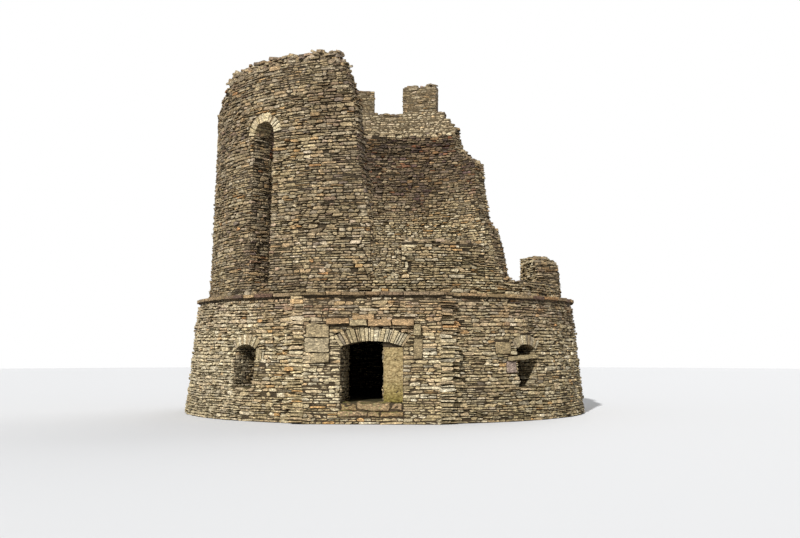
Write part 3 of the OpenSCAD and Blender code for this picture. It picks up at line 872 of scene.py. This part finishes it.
# The row of dressed stones over the door, with one above it and a corbel at its right end.
hood = Blocks(24)
HOOD_FOOT = ARCH_TOP + 0.03
for x0, x1, z0, z1, out, brown, iron, pale in (
    (-1.31, -0.64, 0.045, 0.215, 0.19, 0.55, 0.1, 0.0), (-0.62, -0.12, -0.01, 0.18, 0.185, 0.1, 0.0, 0.0),
    (-0.10, 0.56, 0.0, 0.185, 0.18, 0.55, 0.03, 0.0), (0.58, 1.20, 0.015, 0.19, 0.19, 0.55, 0.06, 0.0),
    (-0.56, 0.08, 0.195, 0.335, 0.1, 0.5, 0.06, 0.0), (1.2, 1.42, -0.27, 0.02, 0.22, 0.0, 0.0, -0.3),
):
    panel_stone(
        hood, x0, x1, HOOD_FOOT + z0, HOOD_FOOT + z1, out, rounding=0.024, wear=0.03,
        pick=0.78 if iron else 0.3, brown=brown, iron=iron, pale=pale, wander=0.012,
    )
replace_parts(hood.mesh("hood_row_stones", HOOD_STONE, "dressed"), "hood_stones")

# The smooth blocks on both sides of the door.
upright = Blocks(25)
BLOCK_TOP = ARCH_TOP - 0.05
for x0, x1, z0, z1, out, pick, brown, pale in (
    (-1.74, -1.222, -0.99, -0.70, 0.12, 0.68, 0.0, 0.2),
    (-1.93, -1.215, -0.692, -0.26, 0.085, 0.2, 0.15, -0.25),
    (-1.9, -1.225, -0.252, 0.13, 0.085, 0.3, 0.15, 0.1),
    (1.2, 1.45, -0.86, -0.28, 0.075, 0.68, 0.0, -0.22),
):
    panel_stone(
        upright, x0, x1, BLOCK_TOP + z0, BLOCK_TOP + z1, out, rounding=0.022, wear=0.05,
        pick=pick, brown=brown, pale=pale, wander=0.01,
    )
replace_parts(upright.mesh("upright_blocks", BLOCK_STONE, "dressed"), "impost_blocks")


# The string course: thin worn slabs that stand out over the lower wall.
def round_side(at, reach, step):
    """The inner and outer point of a slab's side on the curved wall, at an angle."""
    out = out_at(at)
    return out * STRING_BACK, out * reach / math.cos(math.radians(step / 2)) ** 0.5


def panel_side(at, reach, step):
    """The same over the flat panel, at x."""
    return Vector((at, -math.sqrt(STRING_BACK**2 - at * at), 0)), Vector((at, -reach, 0))


def lay_string(name, seed, replaced, side_at, face, start, stop, metre, longest, least, gap, rusty):
    """Slabs from start to stop, in the measure of side_at, of which a metre is so many."""
    blocks = Blocks(seed, 1)
    rng = blocks.rng
    at = start
    while at < stop - 0.005:
        step = metre * rng.uniform(0.42, longest)
        if stop - at - step < least:
            step = stop - at
        reach = face + STRING_OUT - rng.uniform(0.0, 0.035)
        drop = rng.uniform(-0.05, -0.03)
        levels = ((STAGE_TOP + 0.005, STAGE_TOP + drop), (STRING_TOP, STRING_TOP + 0.015 + drop))
        corners = []
        for side in (at + metre * gap, at + step - metre * gap):
            inner, outer = side_at(side, reach, step)
            corners.append([[inner + UP * back, outer + UP * front] for back, front in levels])
        brown = rng.choice([0.2, 0.6, 0.9])
        iron = rng.choice([0.0] * rusty + [0.12])
        blocks.add(corners, rounding=0.018, wear=0.035, brown=brown, iron=iron)
        at += step
    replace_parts(blocks.mesh(name, STRING_STONE, "string_stone"), replaced)


edge_turn = math.degrees(math.asin(STRING_HALF / (STAGE_TOP_R + 0.05)))
degrees_a_metre = math.degrees(1 / STAGE_TOP_R)
for way, seed, start, stop in (
    ("right", 32, edge_turn, 90), ("left", 33, -90, -edge_turn), ("rear", 34, 90, 270),
):
    lay_string(
        "string_slabs_" + way, seed, "string_" + way, round_side, STAGE_TOP_R, start, stop,
        degrees_a_metre, longest=0.85, least=2.5, gap=0.008, rusty=3,
    )
lay_string(
    "string_slabs_front", 31, "string_front", panel_side, PANEL_TOP_OUT, -STRING_HALF, STRING_HALF,
    1, longest=0.8, least=0.25, gap=0.006, rusty=2,
)

# The worn doorstep, in two courses.
sill = Blocks(26)
for low, high, ends, pale in (
    (THRESHOLD - 0.23, THRESHOLD + 0.004, (-0.9, -0.42, 0.52, 0.9), 0.0),
    (THRESHOLD - 0.4, THRESHOLD - 0.23, (-0.97, -0.1, 0.24, 0.93), -0.15),
):
    for x0, x1 in zip(ends, ends[1:]):
        TAKEN.append((True, x0, x1, low, high))
        corners = []
        for x in (x0 + 0.004, x1 - 0.004):
            front = panel_y(high) + 0.035 + 0.05 * sill.rng.random()
            corners.append([
                [Vector((x, 0.55 - front, low)), Vector((x, -front, low + 0.01))],
                [Vector((x, 0.55 - front, high)), Vector((x, -front, high - 0.012))],
            ])
        pick = 0.75 * sill.rng.random()
        sill.add(corners, rounding=0.05, wear=0.06, pick=pick, brown=0.5, pale=pale, wander=0.016)
sill.mesh("doorstep_stones", FLAG_STONE, "flags")


def wall_stone(blocks, turn0, turn1, z0, z1, out, radius=stage_r, rounding=0.02, wear=0.02, **look):
    """A block in a curved wall, from one angle to another."""
    TAKEN.append((False, turn0, turn1, z0, z1))
    corners = []
    for away in (out_at(turn0 + 0.05), out_at(turn1 - 0.05)):
        corners.append([[away * (radius(z) + depth) + UP * z for depth in (-0.08, out)] for z in (z0, z1)])
    blocks.add(corners, rounding, wear, wander=0.012, **look)


# Single stones that stand out beside the windows, and the slab that has dropped into the right one.
beside = Blocks(28)
wall_stone(beside, 32.9, 37.7, 1.97, 2.34, 0.06, rounding=0.03, wear=0.045, pick=0.68, pale=-0.08)
for turn0, turn1, z0, z1, out, pale in (
    (-32.4, -31.2, 1.8, 2.14, 0.05, 0.6),
    (-31.15, -30.3, 1.79, 2.12, 0.06, 0.3),
    (-30.25, -29.5, 1.8, 2.05, 0.05, 0.5),
):
    wall_stone(beside, turn0, turn1, z0, z1, out, pale=pale)
wall_stone(beside, 8.6, 9.5, 4.5, 4.68, 0.06, drum_r, pick=0.97, pale=1.0)
for turn, z0, z1 in ((9.2, 4.99, 5.13), (8.6, 4.86, 4.97), (9.0, 4.72, 4.84)):
    wall_stone(beside, 7.75, turn, z0, z1, 0.07, drum_r, wear=0.03, pick=0.4, pale=0.5)
beside.mesh("window_side_stones", BLOCK_STONE, "dressed")
purple = Blocks(29)
wall_stone(purple, 35.9, 39.3, 1.42, 1.78, 0.07, rounding=0.04, wear=0.04, pick=0.89, pale=0.25)
purple.mesh("purple_side_stone", JAMB_STONE, "dressed")

SLAB_Z = 1.87
SLAB_SIZE = (1.24, 0.135, 0.5)  # along, up and out
slab_out = out_at(BAY_TURN + BAY - 1.5)
slab_along = (UP.cross(slab_out) + UP * 0.055).normalized()
slab_middle = np.array(slab_out * (stage_r(SLAB_Z) - 0.13) + UP * SLAB_Z)
slab_axes = (slab_along, slab_out.cross(slab_along), slab_out)
arms = [np.array(axis) * size / 2 for axis, size in zip(slab_axes, SLAB_SIZE)]
slab_corners = np.empty((2, 2, 2, 3))
for corner in np.ndindex(2, 2, 2):
    slab_corners[corner] = slab_middle + sum((2 * way - 1) * arm for way, arm in zip(corner, arms))
slab = Blocks(27)
slab.add(slab_corners, rounding=0.035, wear=0.035, pick=0.3)
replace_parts(slab.mesh("dropped_slab", ARCH_STONE, "dressed"), "fallen_slab")

# The slab's seat in the wall, and a hole beside the front window.
TAKEN.append((False, 36.5, 48.0, 1.79, 1.96))
TAKEN.append((False, 9.5, 10.3, 4.44, 4.66))


# How the colours lie on the walls. Each zone gives a place's (brown, pale, iron).
def rear_zone(point):
    """The inner face at the back: brown beds high up, a dark band and a pale line under the parapet."""
    wander = drift(point, 0.6, 2.0)
    z = point.z + 0.25 * wander
    turn = turn_of(point) % 360
    if z > LEDGE + 0.02:
        return unit(0.35 + 0.2 * wander), 0.28 if z < PARAPET_TOP else -0.22, 0.03
    if point.z > LEDGE - 0.09:
        return 0.1, 0.9 if 191 < turn < 197 else 0.2, 0.0
    high = unit((z - 7.0) / 1.8)
    iron, dark = 0.0, -0.36 * high
    if 10.0 + 0.2 * wander < point.z < 10.68 and 169 < turn < 189:
        dark = -0.5
    elif 9.8 < point.z < 10.5 and 160 < turn < 171 and noise.noise(Vector(point) * 3.0) > 0.0:
        iron = 0.22
    return unit(0.1 + 0.85 * high + 0.3 * wander), dark + 0.12 * (z < 6.8), iron


def lower_zone(point):
    """Buff low down and beside the door, browner under the string course, and darkened just under it as
    painted shadow.
    """
    x, y, z = point
    wander = drift(point, 0.55, 1.7)
    high = unit((z - 2.6) / 0.6)
    pale = -0.1 * max(wander, 0.0)
    if y < 0 and -2.0 < x < -0.8 and 0.5 < z < 2.6:
        pale = 0.3
    if y < 0 and x < -4.0:
        pale = 0.35
    if y < 0 and x > PANEL_HALF:
        pale += 0.05
    # Painted shadow: the stones right under the string course are darkened as if in its shadow.
    if z > STAGE_TOP - 0.09:
        pale = -0.6
    rusty = high > 0 and noise.noise(Vector((x * 1.3, y * 1.3, z * 4.0))) > 0.22
    return unit(0.12 + 0.4 * high + 0.35 * wander), pale, 0.16 if rusty else 0.0


def drum_zone(point):
    """Brown where the wall stands high on the left, buff on the broken right side."""
    wander = drift(point, 0.55, 1.7)
    turn = turn_of(point)
    if 6.5 < turn < 8.7 and 4.75 < point.z < 5.3:  # the pale end of the front window's side
        return 0.0, 0.75, 0.0
    if turn > 0 and point.y < 0:
        return unit(0.12 + 0.35 * wander), -0.06, 0.0
    return unit(0.45 + 0.4 * wander), -0.18 - 0.14 * wander, 0.0


def broken_zone(point):
    """The torn ends of the drum, from buff to brown."""
    return unit(0.5 + 0.35 * drift(point, 0.55, 1.65)), -0.14, 0.0


# The rubble, face by face.
RUBBLE = (
    ("door_panel_rubble", 41, LOWER_STONE, "lower_rubble"),
    ("lower_left_rubble", 42, LOWER_STONE, "lower_rubble"),
    ("lower_right_rubble", 44, LOWER_STONE, "lower_rubble"),
    ("lower_rear_rubble", 43, LOWER_STONE, "lower_rubble"),
    ("drum_front_rubble", 45, DRUM_STONE, "drum_rubble"),
    ("drum_rear_rubble", 46, DRUM_STONE, "drum_rubble"),
    ("inner_front_rubble", 47, INNER_STONE, "drum_rubble"),
    ("inner_rear_rubble", 48, INNER_STONE, "drum_rubble"),
    ("lower_room_rubble", 49, LOWER_STONE, "lower_rubble"),
    ("opening_side_stones", 50, ARCH_STONE, "lower_rubble"),
    ("broken_end_rubble", 51, INNER_STONE, "drum_rubble"),
    ("loose_top_stones", 61, DRUM_STONE, "drum_rubble"),
    ("upper_floor_rubble", 62, INNER_STONE, "flags"),
)
rubble = {name: Stones(seed) for name, seed, *_ in RUBBLE}
LOWER_PROUD, DRUM_PROUD, INNER_PROUD = (0.014, 0.07), (0.012, 0.062), (0.01, 0.045)
STAGE_MEAN_R, DRUM_MEAN_R = 6.6, 6.0  # where the probes of the outer faces are centred
half_angle = math.degrees(math.asin(PANEL_HALF / STAGE_FOOT_R))
for name, start, stop, long_range in (
    ("lower_left_rubble", -120, -half_angle, (0.13, 0.5)),
    ("lower_right_rubble", half_angle, 120, (0.15, 0.55)),
    ("lower_rear_rubble", 120, 240, (0.2, 0.7)),
):
    face = CurvedFace(STAGE_MEAN_R, start, stop)
    lay_wall(rubble[name], face, 0.0, STAGE_TOP, long_range, LOWER_PROUD, lower_zone, 0.014)
for name, start, stop in (("drum_front_rubble", -100, 100), ("drum_rear_rubble", 100, 260)):
    face = CurvedFace(DRUM_MEAN_R, start, stop)
    lay_wall(rubble[name], face, STAGE_TOP + 0.08, TOWER_TOP, (0.15, 0.5), DRUM_PROUD, drum_zone, 0.013)
for name, start, long_range, proud_range, zone, joint in (
    ("inner_front_rubble", -90, (0.17, 0.5), INNER_PROUD, drum_zone, 0.01),
    ("inner_rear_rubble", 90, (0.13, 0.42), (0.01, 0.062), rear_zone, 0.013),
):
    face = CurvedFace(HALL_R, start, start + 180, inward=True)
    lay_wall(rubble[name], face, FLOOR_TOP, TOWER_TOP, long_range, proud_range, zone, joint, 0.03)
room_face = CurvedFace(ROOM_R, 20, 340, inward=True)
lay_wall(rubble["lower_room_rubble"], room_face, THRESHOLD, 2.5, (0.3, 0.9), (0.006, 0.02), lower_zone)

plastered = []
for point, normal, corners in flat_faces(WALL_NODES):
    middle = sum((Vector(c) for c in corners), Vector()) / len(corners)
    low, high = min(c.z for c in corners), max(c.z for c in corners)
    in_front = middle.y < -6.3
    on_cheek = in_front and normal.y < -0.999 and 0.2 < middle.x < 1.0 and middle.z < THRESHOLD + 2
    on_panel = in_front and normal.y < -0.95 and abs(middle.x) < PANEL_HALF and not on_cheek
    across = Vector((normal.x, normal.y, 0)).normalized().dot(Vector((middle.x, middle.y, 0)).normalized())
    curved = abs(across) > 0.999 and not on_panel and not on_cheek
    if abs(normal.z) > 0.3 or curved or high - low < 0.05:
        continue
    face = FlatFace(point, normal, corners)
    if on_panel:
        lay_wall(rubble["door_panel_rubble"], face, low, high, (0.16, 0.62), LOWER_PROUD, lower_zone, 0.012)
    elif on_cheek:
        plastered.append((face, low, high))
    elif middle.z < STAGE_TOP:
        lay_wall(rubble["opening_side_stones"], face, low, high, (0.14, 0.45), (0.004, 0.03), lower_zone)
    else:
        lay_wall(rubble["broken_end_rubble"], face, low, high, (0.16, 0.5), (0.0, 0.065), broken_zone)


PLASTER_WAVES = ((0.4, 3.0), (0.4, 9.0), (0.5, 26.0))  # shares of noise, from broad to fine


def plaster_sheet(name, material, parts, cell=0.02, margin=0.004):
    """Old worn plaster over the lit side of the doorway."""
    points, quads = [], []
    for face, low, high in parts:
        columns, rows = int(face.length / cell) + 1, int((high - low) / cell) + 1
        index = {}
        for i, j in np.ndindex(columns + 1, rows + 1):
            run = min(max(i * face.length / columns, margin), face.length - margin)
            z = low + margin + (high - low - 2 * margin) * j / rows
            found = face.surface(run, z)
            if found is None:
                continue
            spot = found[0]
            swell = sum(share * noise.noise(spot * fine) for share, fine in PLASTER_WAVES)
            ragged = 0.03 * noise.noise(Vector((2.0, 5.0, z * 7.0))) if i == 0 else 0.0
            index[i, j] = len(points)
            points.append(spot + face.normal * (0.022 + 0.045 * swell) + face.along * ragged)
        for i, j in np.ndindex(columns, rows):
            ring = [(i, j), (i + 1, j), (i + 1, j + 1), (i, j + 1)]
            if all(spot in index for spot in ring):
                quads.append([index[spot] for spot in ring])
    make_piece(name, points, quads, material, True)


plaster_sheet("door_side_plaster", plaster_material(), plastered)


# Loose stones left on the broken tops and on the upper floor.
def lie_flat(stones, spot, half_long, half_wide, thick, tilt):
    """A flat stone that lies on spot, along the wall."""
    rng = stones.rng
    spin = math.atan2(spot[1], spot[0]) + rng.normal(0, 0.3)
    up = Vector((rng.normal(0, tilt), rng.normal(0, tilt), 1)).normalized()
    along = Vector((-math.sin(spin), math.cos(spin), 0))
    along = (along - up * along.dot(up)).normalized()
    dark = -0.12 - 0.15 * rng.random()
    look = (0.35 + 0.4 * rng.random(), dark, 0.0)
    stones.add(spot, along, up.cross(along), up, half_long, half_wide, thick, 0.012, look)


def under(x, y, z, far):
    """The place and normal of what the walls have under a point, or None twice."""
    return wall_tree.ray_cast(Vector((x, y, z)), Vector((0, 0, -1)), far)[:2]


def heap_at(point, level):
    """How high stones lie over a top: most on the high front left, none on the low broken edge."""
    swell = noise.noise(Vector((point.x * 1.3, point.y * 1.3, 5.0))) * 0.5 + 0.5
    if level < STAGE_TOP + 1.0:
        return 0.0
    if level > LEDGE + 0.5:
        out = Vector((point.x, point.y, 0)).normalized()
        for side in (-0.42, 0.42):
            hit, _ = under(point.x - side * out.y, point.y + side * out.x, level + 0.5, 0.9)
            if hit is None and level > TOWER_TOP - 0.1:
                return LAYER + 0.001
        return 0.05 * swell
    if -62 < turn_of(point) < -4 and level > 8.5:
        return 0.1 + 0.34 * swell
    return 0.16 * swell


def room_at(px, py, level):
    """How far the top reaches round a spot before the wall falls away."""
    for reach in (0.05, 0.1, 0.15):
        for k in range(8):
            a = k * math.pi / 4
            hit, _ = under(px + reach * math.cos(a), py + reach * math.sin(a), level + 1.2, 1.4)
            if hit is None or hit.z < level - 0.1:
                return reach - 0.05
    return 0.15


caps = rubble["loose_top_stones"]
rng = caps.rng
top_nodes = [name for name in WALL_NODES if not name.startswith(("door", "lower", "threshold"))]
for _, normal, corners in flat_faces(top_nodes, 0.01):
    level = sum(c.z for c in corners) / len(corners)
    if normal.z <= 0.7 or level < STAGE_TOP + 0.2:
        continue
    low = Vector((min(c.x for c in corners), min(c.y for c in corners), 0))
    high = Vector((max(c.x for c in corners), max(c.y for c in corners), 0))
    for layer in range(6):
        x = low.x + rng.uniform(0, 0.15)
        while x < high.x:
            y = low.y + rng.uniform(0, 0.15)
            while y < high.y:
                px, py = x + rng.uniform(-0.06, 0.06), y + rng.uniform(-0.06, 0.06)
                y += rng.uniform(0.16, 0.28)
                hit, facing = under(px, py, level + 0.35, 0.37)
                if hit is None or facing.z < 0.7 or abs(hit.z - level) > 0.03:
                    continue
                if layer * LAYER > heap_at(hit, level):
                    continue
                if level < STAGE_TOP + 1.9 and rng.random() < 0.4:
                    continue
                thick = rng.uniform(0.045, 0.09) if level > STAGE_TOP + 1.0 else rng.uniform(0.015, 0.05)
                room = room_at(px, py, level)
                if room > 0.04:
                    half_long = min(rng.uniform(0.08, 0.2), room + 0.03)
                    half_wide = min(rng.uniform(0.06, 0.12), room + 0.02)
                    spot = (px, py, level + layer * LAYER)
                    lie_flat(caps, spot, half_long, half_wide, thick, 0.04 + 0.04 * layer)
            x += rng.uniform(0.16, 0.28)

FLOOR_STONES = 900
floor_rubble = rubble["upper_floor_rubble"]
rng = floor_rubble.rng
while len(floor_rubble.rows) < FLOOR_STONES:
    px, py = rng.uniform(-5.2, 5.2, 2)
    if math.hypot(px, py) < ROOM_R:
        size = rng.uniform(0.05, 0.2)
        lie_flat(floor_rubble, (px, py, FLOOR_TOP), size, size * 0.6, rng.uniform(0.02, 0.07), 0.08)

for name, _, material, slot_name in RUBBLE:
    rubble[name].mesh(name, material, slot_name)

# The solids that still show between the stones are mortar.
for starts, mortar in (
    (("lower", "door", "threshold"), LOWER_MORTAR),
    (("drum", "pier", "rear", "stump", "tall", "vault", "upper", "ground"), DRUM_MORTAR),
    (("parapet", "merlons"), PARAPET_MORTAR),
):
    for name, solid in nodes.items():
        if name.startswith(starts):
            for socket in solid.material_slots:
                socket.material = mortar

# Camera and floor.
camera_data = bpy.data.cameras.new("camera")
camera_data.sensor_width = 36
camera_data.lens = 45
camera_data.clip_end = 400
camera = link(bpy.data.objects.new("camera", camera_data))
camera.location = (2.155, -35.234, 2.1)
camera.rotation_euler = (math.radians(90 + 4.63), 0, math.radians(2.7))
bpy.context.scene.camera = camera

FLOOR_R, FLOOR_SIDES = 90, 96
floor_mesh = bpy.data.meshes.new("floor")
turns = np.linspace(0, 2 * math.pi, FLOOR_SIDES + 1)[:-1]
ring = [(FLOOR_R * math.cos(a), FLOOR_R * math.sin(a), 0) for a in turns]
floor_mesh.from_pydata(ring, [], [list(range(FLOOR_SIDES))])
floor_finish = Finish("pale_floor", 0.9, 0.1)
floor_finish.shader["Base Color"].default_value = grey(0.76)
floor_mesh.materials.append(floor_finish.material)
floor = link(bpy.data.objects.new("floor", floor_mesh))


# Light.
def add_sun(name, energy, width, direction):
    """A far lamp, so many degrees wide, that shines in a direction."""
    data = bpy.data.lights.new(name, "SUN")
    data.energy = energy
    data.angle = math.radians(width)
    lamp = link(bpy.data.objects.new(name, data))
    lamp.rotation_euler = Vector(direction).to_track_quat("-Z", "Y").to_euler()


add_sun("sun", 3.6, 1.5, (0.253, 0.779, -0.574))
add_sun("rear_fill", 1.1, 50, (-0.35, -0.78, -0.52))

world = bpy.data.worlds.new("studio")
bpy.context.scene.world = world
world.use_nodes = True
world.node_tree.nodes.clear()
sky = Net(world.node_tree)
seen = sky.node("LightPath").outputs
either = sky.math("MAXIMUM", seen["Is Camera Ray"], seen["Is Glossy Ray"])
either = sky.math("MAXIMUM", either, seen["Is Transmission Ray"])
soft = sky.node("Background", (("Color", "#eceff4"), ("Strength", 0.32))).outputs[0]
white = sky.node("Background", (("Color", grey(1.0)), ("Strength", 1.0))).outputs[0]
blend = sky.node("MixShader", ((0, either), (1, soft), (2, white))).outputs[0]
sky.node("OutputWorld", ((0, blend),))

bpy.context.scene.view_settings.view_transform = "Standard"
